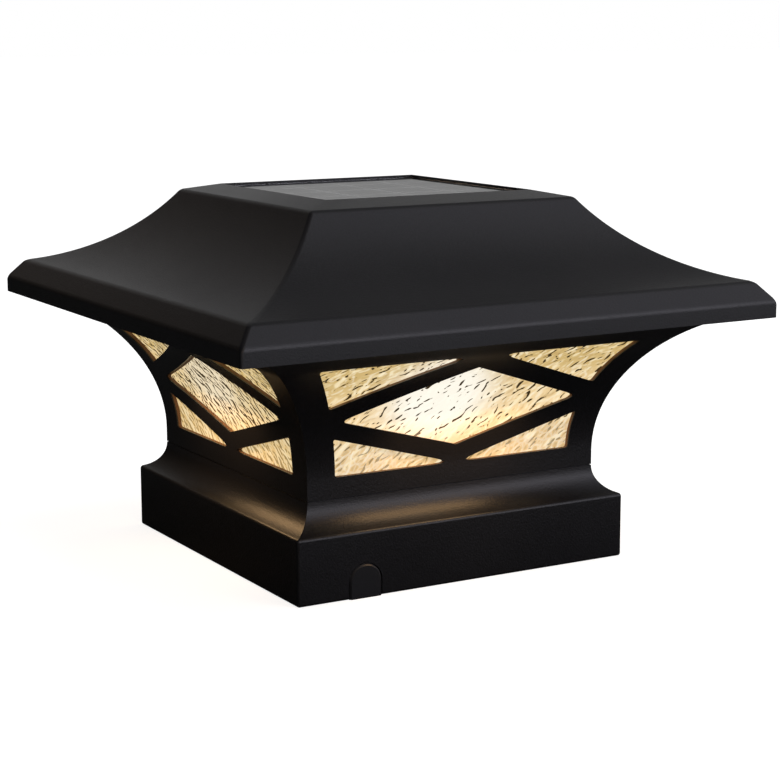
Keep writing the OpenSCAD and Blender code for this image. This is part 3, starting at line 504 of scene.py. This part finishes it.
def arc(centre, radius, start, end, steps):
    """Points in millimetres on a circle, from one angle to another."""
    return [
        (centre[0] + radius * math.cos(math.radians(start + (end - start) * k / steps)),
         centre[1] + radius * math.sin(math.radians(start + (end - start) * k / steps)))
        for k in range(steps + 1)
    ]


def angle_to(centre, point):
    """The direction from centre to point, in degrees."""
    return math.degrees(math.atan2(point[1] - centre[1], point[0] - centre[0])) % 360


def arc_between(centre, start, end, steps):
    """The short arc round centre from one point to another, without its ends."""
    radius = math.dist(centre, start)
    return arc(centre, radius, angle_to(centre, start), angle_to(centre, end), steps)[1:-1]


def mitred(profile):
    """A square ring: a closed profile turned round in four flat sides."""
    bm = bmesh.new()
    root = math.sqrt(2)
    verts = [bm.verts.new((x * MM * root, 0, z * MM)) for x, z in profile]
    edges = [bm.edges.new((verts[i - 1], verts[i])) for i in range(len(verts))]
    bmesh.ops.spin(
        bm, geom=verts + edges, cent=(0, 0, 0), axis=(0, 0, 1),
        angle=math.tau, steps=4, use_merge=True
    )
    bmesh.ops.remove_doubles(bm, verts=bm.verts, dist=NEAR * MM)
    eighth = Matrix.Rotation(math.pi / 4, 3, "Z")
    bmesh.ops.rotate(bm, cent=(0, 0, 0), matrix=eighth, verts=bm.verts)
    bmesh.ops.recalc_face_normals(bm, faces=bm.faces)
    return bm


def is_hip(edge):
    """True on an edge that lies on a mitre."""
    return all(
        abs(abs(v.co.x) - abs(v.co.y)) < NEAR * MM and abs(v.co.x) > MM for v in edge.verts
    )


def soften(bm, edges, radius, segments):
    """Rounds edges to a radius in millimetres."""
    bmesh.ops.bevel(
        bm, geom=edges, offset=radius * MM, offset_type="OFFSET", segments=segments,
        profile=0.5, affect="EDGES", material=-1, clamp_overlap=True
    )


def creases(bm, degrees=12):
    """The edges at which the surface turns by more than that."""
    return [
        e for e in bm.edges
        if len(e.link_faces) == 2 and e.calc_face_angle(0) > math.radians(degrees)
    ]


def make(name, bm, smooth=32):
    """An object at the origin from a bmesh, smooth but for edges of that many degrees."""
    mesh = bpy.data.meshes.new(name)
    limit = math.radians(smooth)
    for face in bm.faces:
        face.smooth = True
    for edge in bm.edges:
        edge.smooth = len(edge.link_faces) == 2 and edge.calc_face_angle(0) < limit
    bm.to_mesh(mesh)
    bm.free()
    made = bpy.data.objects.new(name, mesh)
    bpy.context.scene.collection.objects.link(made)
    return made


def dress(made, body, slot, material, *nodes):
    """Gives a piece its material and its body, and hides the nodes that it stands for."""
    made.data.materials.clear()
    made.data.materials.append(material)
    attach(made, body)
    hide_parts(*nodes)
    return made


def add_rod(bm, radius, low, high, x, y, radius_top=None):
    """An upright rod in a bmesh, in millimetres."""
    bmesh.ops.create_cone(
        bm, cap_ends=True, segments=32, radius1=radius * MM,
        radius2=(radius if radius_top is None else radius_top) * MM, depth=(high - low) * MM,
        matrix=Matrix.Translation((x * MM, y * MM, (low + high) / 2 * MM))
    )


def at_corners(x):
    """Places on the four mitres."""
    return [(x, x), (-x, x), (-x, -x), (x, -x)]


def at_sides(x):
    """Places in the middle of the four faces."""
    return [(x, 0), (0, x), (-x, 0), (0, -x)]


def reopened(piece):
    """A bmesh of an object's mesh, merged, in place of the object."""
    bm = bmesh.new()
    bm.from_mesh(piece.data)
    bmesh.ops.remove_doubles(bm, verts=bm.verts, dist=MEET * MM)
    bpy.data.objects.remove(piece)
    return bm


def carve(made, cutter_bm):
    """Cuts closed shapes that don't meet out of an object's mesh."""
    bmesh.ops.recalc_face_normals(cutter_bm, faces=cutter_bm.faces)
    cutter = make("cutter", cutter_bm)
    tool = made.modifiers.new("carve", "BOOLEAN")
    tool.operation = "DIFFERENCE"
    tool.solver = "EXACT"
    tool.object = cutter
    apply_all(made)
    bpy.data.objects.remove(cutter)


def apply_all(made):
    """Bakes an object's modifiers into its mesh."""
    bpy.context.view_layer.update()
    done = bpy.data.meshes.new_from_object(
        made.evaluated_get(bpy.context.evaluated_depsgraph_get())
    )
    made.modifiers.clear()
    made.data = done


def flare_at(z, inset=0.0):
    """Half the width of the flared face, set in by inset."""
    rise = max(0.0, z - FLARE_CENTRE[1])
    return FLARE_CENTRE[0] - math.sqrt((FLARE_R + inset) ** 2 - rise ** 2)


def rounded(points, radius, steps=4):
    """A closed outline with its corners rounded."""
    outline = []
    for i, p in enumerate(points):
        p = Vector(p)
        a = Vector(points[i - 1]) - p
        b = Vector(points[(i + 1) % len(points)]) - p
        bend = a.angle(b)
        if bend > math.radians(165):
            outline.append(tuple(p))
            continue
        back = min(radius / math.tan(bend / 2), a.length * 0.45, b.length * 0.45)
        start = p + a.normalized() * back
        end = p + b.normalized() * back
        for k in range(steps + 1):
            t = k / steps
            outline.append(tuple(start * (1 - t) ** 2 + p * 2 * t * (1 - t) + end * t * t))
    return outline


def window_outlines():
    """The five openings of one face: a diamond and four corner windows."""
    bottom, top = WINDOW_LOW, WINDOW_HIGH
    reach, middle = DIAMOND_SIDE
    up = (DIAMOND_PEAK - middle) / reach
    down = (middle - DIAMOND_FOOT) / reach
    upper_line = DIAMOND_PEAK + BAR * math.sqrt(1 + up * up)
    lower_line = DIAMOND_FOOT - BAR * math.sqrt(1 + down * down)
    centre, radius = rising_arc(POST_LOW, (flare_at(top) - POST_HIGH, top))

    def edge(z):
        """Half the width between a face's posts at that height."""
        return centre[0] - math.sqrt(radius ** 2 - max(0.0, z - centre[1]) ** 2)

    def run(z0, z1, steps=6):
        """Points up or down a post."""
        heights = [z0 + (z1 - z0) * k / steps for k in range(steps + 1)]
        return [(edge(z), z) for z in heights]

    def hit(line, slope):
        """The height at which a bar's line meets the windows' outer edge."""
        z = middle
        for _ in range(40):
            z = line + slope * edge(z)
        return z

    upper = [((upper_line - top) / up, top)] + run(top, hit(upper_line, -up))
    lower = [((bottom - lower_line) / down, bottom)] + run(bottom, hit(lower_line, down))
    outlines = [[(reach, middle), (0, DIAMOND_PEAK), (-reach, middle), (0, DIAMOND_FOOT)]]
    for side in (1, -1):
        outlines += [[(side * x, z) for x, z in shape] for shape in (upper, lower)]
    return [rounded(shape, WINDOW_ROUND) for shape in outlines]


def add_prism(bm, outline, low, high, turn):
    """An outline in X and Z, run along Y from low to high and turned about Z."""
    verts = [bm.verts.new((x * MM, low * MM, z * MM)) for x, z in outline]
    face = bm.faces.new(verts)
    pushed = bmesh.ops.extrude_face_region(bm, geom=[face])
    new = [v for v in pushed["geom"] if isinstance(v, bmesh.types.BMVert)]
    bmesh.ops.translate(bm, verts=new, vec=(0, (high - low) * MM, 0))
    spin = Matrix.Rotation(math.radians(turn), 3, "Z")
    bmesh.ops.rotate(bm, cent=(0, 0, 0), matrix=spin, verts=verts + new)


# ---- Pieces ----

def roof():
    """The flared roof casting with its panel tray and bosses."""
    outer = [LIP, EAVE, SLOPE_FOOT]
    outer += arc_between(OGEE_CENTRE, SLOPE_FOOT, CROWN, 28)
    outer += [CROWN, RIM]
    recess = [(RIM[0], TRAY_FLOOR), (0, TRAY_FLOOR)]
    high, low = SLOPE_INSIDE
    inner = [(0, TRAY_INSIDE[1]), TRAY_INSIDE, TRAY_SHOULDER, high]
    inner += arc_between(OGEE_CENTRE, high, low, 18)
    inner += [low, EAVE_INSIDE, (EAVE_INSIDE[0], LIP[1])]
    bm = mitred(outer + recess + inner)

    def outside(vert):
        """True on the outer face, from the lip's foot up to below the rim."""
        half, z = max(abs(vert.co.x), abs(vert.co.y)) / MM, vert.co.z / MM
        for (x0, z0), (x1, z1) in zip(outer, outer[1:]):
            skin = x0 + (x1 - x0) * (z - z0) / (z1 - z0)
            if z0 - 0.1 <= z <= z1 + 0.1 and half > skin - 1:
                return z < RIM[1] - 1
        return False

    shoulders = [e for e in creases(bm) if all(outside(v) for v in e.verts)
                 and max(v.co.z for v in e.verts) > (LIP[1] + 1) * MM]
    soften(bm, shoulders, SHOULDER_ROUND, 4)
    soften(bm, creases(bm, 40), RIM_EDGE, 2)
    low, high, radius = ROOF_BOSS
    for x, y in at_corners(ROOF_SCREW):
        add_rod(bm, radius, low, high, x, y)
    low, high, radius = PLATE_BOSS
    for x, y in at_corners(PLATE_SCREW):
        add_rod(bm, radius, low, high, x, y)
    return make("roof", bm)


def lantern():
    """The flared lattice casting."""
    groove = (NECK - GROOVE, SEAM + GROOVE)
    outer = [(groove[0], SEAM), groove, (NECK, groove[1]), FLARE_FOOT]
    outer += arc_between(FLARE_CENTRE, FLARE_FOOT, FLARE_TOP, 26)
    outer += [FLARE_TOP, (FLANGE, FLARE_TOP[1]), (FLANGE, FRAME_TOP)]
    top_in = (flare_at(FRAME_TOP, FRAME_WALL), FRAME_TOP)
    foot_in = (NECK - FRAME_WALL, FLARE_FOOT[1])
    inner = [top_in] + arc_between(FLARE_CENTRE, top_in, foot_in, 26)
    inner += [foot_in, (foot_in[0], FRAME_FOOT)]
    inner += [(COLLAR_MOUTH, FRAME_FOOT), (COLLAR_MOUTH, SEAM)]
    piece = make("lantern", mitred(outer + inner))
    cutter = bmesh.new()
    for turn in TURNS.values():
        for outline in window_outlines():
            add_prism(cutter, outline, *WINDOW_CUT, turn)
    low, high, wide, narrow = SCREW_SEAT
    for x, y in at_corners(ROOF_SCREW):
        add_rod(cutter, wide, low, high, x, y, narrow)
    carve(piece, cutter)
    bm = reopened(piece)
    above = [e for e in creases(bm, 25) if max(v.co.z for v in e.verts) > (SEAM + 1) * MM]
    soften(bm, above, EDGE, 2)
    low, high, radius = COLLAR_BOSS
    for x, y in at_sides(COLLAR_SCREW):
        add_rod(bm, radius, low, high, x, y)
    return make("lantern", bm)


def collar():
    """The skirt over the post, its cove and its ledges."""
    shape = [(SKIRT, 0), ARRIS]
    shape += arc_between(COVE_CENTRE, ARRIS, (NECK, SEAM), 14)
    shape += [(NECK, SEAM), (COLLAR_MOUTH, SEAM), (COLLAR_MOUTH, COVE_INSIDE[1]), COVE_INSIDE]
    shape += arc_between(COVE_CENTRE, COVE_INSIDE, LEDGE_TOP, 8)
    shape += [LEDGE_TOP, (POST_LEDGE[0], LEDGE_TOP[1]), POST_LEDGE]
    shape += [(SKIRT_INSIDE, POST_LEDGE[1]), (SKIRT_INSIDE, 0)]
    bm = mitred(shape)
    upright = [e for e in bm.edges if is_hip(e)
               and min(abs(v.co.x) for v in e.verts) > (SKIRT - 0.1) * MM]
    soften(bm, upright, HIP_ROUND, 5)
    piece = make("collar", bm)
    for width, top, low, high in (COVER_POCKET, COVER_GROOVE):
        cutter = bmesh.new()
        r = width / 2
        outline = [(-COVER_X - r, -1), (-COVER_X + r, -1)]
        outline += [(-COVER_X + x, z) for x, z in arc((0, top - r), r, 0, 180, 24)]
        for turn in (0, 180):
            add_prism(cutter, outline, low, high, turn)
        carve(piece, cutter)
    cutter = bmesh.new()
    height, r, low, high = FIXING_HOLE
    hole = [(-COVER_X + x, height + z) for x, z in arc((0, 0), r, 0, 345, 23)]
    for turn in (0, 180):
        add_prism(cutter, hole, low, high, turn)
    carve(piece, cutter)
    bm = reopened(piece)
    soften(bm, creases(bm, 25), EDGE, 2)
    return make("collar", bm)


def pane(turn):
    """A hammered pane: a curved sheet with shallow dimples and finer ripples."""
    bm = bmesh.new()
    rows, columns = 48, 150
    bmesh.ops.create_grid(bm, x_segments=columns, y_segments=rows, size=1)
    for v in bm.verts:
        z = PANE_LOW + (PANE_HIGH - PANE_LOW) * (v.co.y + 1) / 2
        x = v.co.x * flare_at(z, PANE_END)
        dimple = noise.noise(Vector((x * 0.16, z * 0.21, turn)))
        ripple = noise.noise(Vector((x * 0.45 + z * 0.3, z * 0.5 - x * 0.28, turn + 7)))
        y = -flare_at(z, PANE_INSET) + DIMPLE * dimple + RIPPLE * ripple
        v.co = Vector((x * MM, y * MM, z * MM))
    bmesh.ops.recalc_face_normals(bm, faces=bm.faces)
    if sum(f.normal.y for f in bm.faces) > 0:
        bmesh.ops.reverse_faces(bm, faces=bm.faces)
    bmesh.ops.solidify(bm, geom=bm.faces, thickness=PANE_WALL * MM)
    spin = Matrix.Rotation(math.radians(turn), 3, "Z")
    bmesh.ops.rotate(bm, cent=(0, 0, 0), matrix=spin, verts=bm.verts)
    return make(f"pane_{turn}", bm, 50)


COAT = powder_coat()
CASTINGS = ((roof, "roof_shell"), (lantern, "lantern_frame"), (collar, "base_collar"))
for casting, node in CASTINGS:
    coat = powder_coat(lit=True) if casting is lantern else COAT
    made = dress(casting(), "light", "powder_coat", coat, node)
    made.modifiers.new("flats", "WEIGHTED_NORMAL").keep_sharp = True
for face, turn in TURNS.items():
    glass = pane_glass(turn, **RIPPLES[face])
    dress(pane(turn), "light", "pane_glass", glass, f"pane_{face}")

FINISHES = {
    "cover_plastic": cover_plastic(), "screw_steel": screw_steel(),
    "panel_glass": panel_glass(), "silicon": silicon(),
    "circuit_board": circuit_board("circuit_board", (0.05, 0.22, 0.09), (0.02, 0.11, 0.045)),
    "foam_rubber": foam_rubber(), "white_plastic": white_plastic(),
    "cell_sleeve": cell_sleeve(), "contact_plate": contact_plate(),
    "black_epoxy": black_epoxy(), "emitter": emitter(), "diffuser": diffuser(),
    "lead_sleeve": lead_sleeve(), "powder_coat": COAT,
}
SPECIAL = {
    "panel_backing": circuit_board("panel_board", (0.040, 0.042, 0.050), (0.016, 0.018, 0.024)),
    "led_board": circuit_board("white_board", (0.62, 0.62, 0.58), (0.78, 0.78, 0.75)),
}
SLOTS = {row["node"]: row["material_slot"] for row in frame["record"]["subparts"]}
for name, node in frame["nodes"].items():
    if SLOTS[name] in FINISHES:
        node.data.materials.clear()
        node.data.materials.append(SPECIAL.get(name, FINISHES[SLOTS[name]]))


# ---- Stage ----

def floor():
    """A plain pale floor, white to the camera but for the object's soft shadow.

    What mirrors it sees it darker, with a painted shadow that is darkest close by and behind.
    """
    bm = bmesh.new()
    bmesh.ops.create_grid(bm, x_segments=1, y_segments=1, size=12)
    made = make("floor", bm)
    f = Finish("floor", Roughness=0.9, Specular_IOR_Level=0.0, Emission_Strength=1.0)
    seen = f.node("ShaderNodeLightPath", output="Is Camera Ray")
    # Painted shadow: to all rays but the camera's, the floor is painted darker close by and
    # behind
    ahead = 0 - f.axis(f.place(), "Y")
    mirrored = f.mix(ahead.over(0.26, 0.60), (0.03, 0.03, 0.03), (0.74, 0.74, 0.80))
    f.feed("Base Color", f.mix(seen, mirrored, (0.5, 0.5, 0.5)))
    f.feed("Emission Color", f.mix(seen, (0, 0, 0), (0.78, 0.78, 0.78)))
    made.data.materials.append(f.material)


def world():
    """White behind everything; gloss sees a studio that is darker above and behind.

    Each ramp runs over a direction: up, across to the right, or ahead towards the camera.
    """
    made = bpy.data.worlds.new("studio")
    bpy.context.scene.world = made
    made.use_nodes = True
    tree = made.node_tree

    def node(kind, operation, *inputs, output=0):
        new = tree.nodes.new(kind)
        if operation:
            new.operation = operation
        for index, value in enumerate(inputs):
            if isinstance(value, bpy.types.NodeSocket):
                tree.links.new(value, new.inputs[index])
            else:
                new.inputs[index].default_value = value
        return new.outputs[output]

    def ramp(value, low, high, first, last):
        new = tree.nodes.new("ShaderNodeMapRange")
        new.interpolation_type = "SMOOTHSTEP"
        tree.links.new(value, new.inputs["Value"])
        for index, limit in enumerate((low, high, first, last), 1):
            new.inputs[index].default_value = limit
        return new.outputs["Result"]

    path = tree.nodes.new("ShaderNodeLightPath").outputs
    direction = tree.nodes.new("ShaderNodeTexCoord").outputs["Generated"]
    split = tree.nodes.new("ShaderNodeSeparateXYZ")
    tree.links.new(direction, split.inputs[0])
    across, up = split.outputs["X"], split.outputs["Z"]
    forward = (0.5, -0.866, 0)
    ahead = node("ShaderNodeVectorMath", "DOT_PRODUCT", direction, forward, output="Value")
    # Behind and beside: brighter above the horizon, dimmer overhead and to the left
    horizon = ramp(up, -0.05, 0.16, 0.03, 0.48)
    above = ramp(up, 0.24, 0.42, 1.0, 0.33)
    right = ramp(across, -0.45, 0.38, 0.04, 1.0)
    behind = node("ShaderNodeMath", "MULTIPLY", horizon, above)
    behind = node("ShaderNodeMath", "MULTIPLY", behind, right)
    # Ahead: even, with a brighter window above the camera
    near = ramp(ahead, 0.0, 0.6, 0.0, 1.0)
    sides = node("ShaderNodeMapRange", None, near, 0.0, 1.0, behind, 0.9)
    window = node("ShaderNodeMath", "MULTIPLY", ramp(up, 0.12, 0.28, 0.0, 2.2),
                  ramp(up, 0.38, 0.58, 1.0, 0.0))
    window = node("ShaderNodeMath", "MULTIPLY", window, ramp(ahead, 0.78, 0.93, 0.0, 1.0))
    sides = node("ShaderNodeMath", "ADD", sides, window)
    gloss = node("ShaderNodeMath", "MULTIPLY", path["Is Glossy Ray"], sides)
    seen = node("ShaderNodeMath", "MAXIMUM", path["Is Camera Ray"], path["Is Transmission Ray"])
    seen = node("ShaderNodeMath", "MAXIMUM", seen, gloss)
    plain = node("ShaderNodeMath", "MULTIPLY", path["Is Diffuse Ray"], 0.5)
    tree.links.new(
        node("ShaderNodeMath", "MAXIMUM", seen, plain),
        tree.nodes["Background"].inputs["Strength"]
    )

    def tint(share, first, last):
        """A background colour between two, for glossy rays alone."""
        new = tree.nodes.new("ShaderNodeMix")
        new.data_type = "RGBA"
        amount = node("ShaderNodeMath", "MULTIPLY", path["Is Glossy Ray"], share)
        tree.links.new(amount, new.inputs[0])
        new.inputs[7].default_value = (*last, 1)
        if isinstance(first, bpy.types.NodeSocket):
            tree.links.new(first, new.inputs[6])
        else:
            new.inputs[6].default_value = (*first, 1)
        return new.outputs[2]

    left = node("ShaderNodeMath", "SUBTRACT", 1.0, right)
    colour = tint(near, (1, 1, 1), (0.90, 0.89, 1.0))
    colour = tint(left, colour, (1.0, 0.76, 0.58))
    tree.links.new(colour, tree.nodes["Background"].inputs["Color"])


def lamp(name, place, size, power, aim=(0, 0, 0.08), colour=(1, 1, 1)):
    """A soft lamp that gloss doesn't mirror."""
    data = bpy.data.lights.new(name, "AREA")
    data.shape = "RECTANGLE"
    data.size, data.size_y = size
    data.energy = power
    data.color = colour
    made = bpy.data.objects.new(name, data)
    made.location = place
    made.rotation_euler = (Vector(place) - Vector(aim)).to_track_quat("Z", "Y").to_euler()
    made.visible_glossy = False
    bpy.context.scene.collection.objects.link(made)
    return made


def spill():
    """The warm light that each pane throws down on the cove."""
    for turn in TURNS.values():
        spin = Matrix.Rotation(math.radians(turn), 3, "Z")
        place = spin @ Vector((0, -0.0805, 0.062))
        cove = spin @ Vector((0, -0.0700, 0.026))
        made = lamp(f"spill_{turn}", place, (0.06, 0.016), 0.021, cove, (1.0, 0.62, 0.30))
        made.visible_camera = False
        made.visible_glossy = True


def camera():
    """The photograph's place, direction and field of view."""
    azimuth, height, roll = (math.radians(angle) for angle in (-29.973, 10.45, -0.136))
    distance, aside, aim_height, lens = 0.823462, 0.007139, 0.063728, 91.59
    back = Vector((math.sin(azimuth) * math.cos(height),
                   -math.cos(azimuth) * math.cos(height), math.sin(height)))
    right = Vector((math.cos(azimuth), math.sin(azimuth), 0))
    up = back.cross(right)
    place = back * distance + right * aside + Vector((0, 0, aim_height))
    turned = right * math.cos(roll) + up * math.sin(roll)
    upright = up * math.cos(roll) - right * math.sin(roll)
    data = bpy.data.cameras.new("camera")
    data.lens = lens
    data.sensor_width = 36
    made = bpy.data.objects.new("camera", data)
    matrix = Matrix((turned, upright, back)).transposed().to_4x4()
    matrix.translation = place
    made.matrix_world = matrix
    bpy.context.scene.collection.objects.link(made)
    bpy.context.scene.camera = made


floor()
world()
lamp("key", (0.6, -0.5, 1.9), (1.4, 1.4), 22)
lamp("fill", (1.0, -1.6, 1.3), (0.8, 0.8), 5)
spill()
camera()
bpy.context.scene.view_settings.view_transform = "Standard"
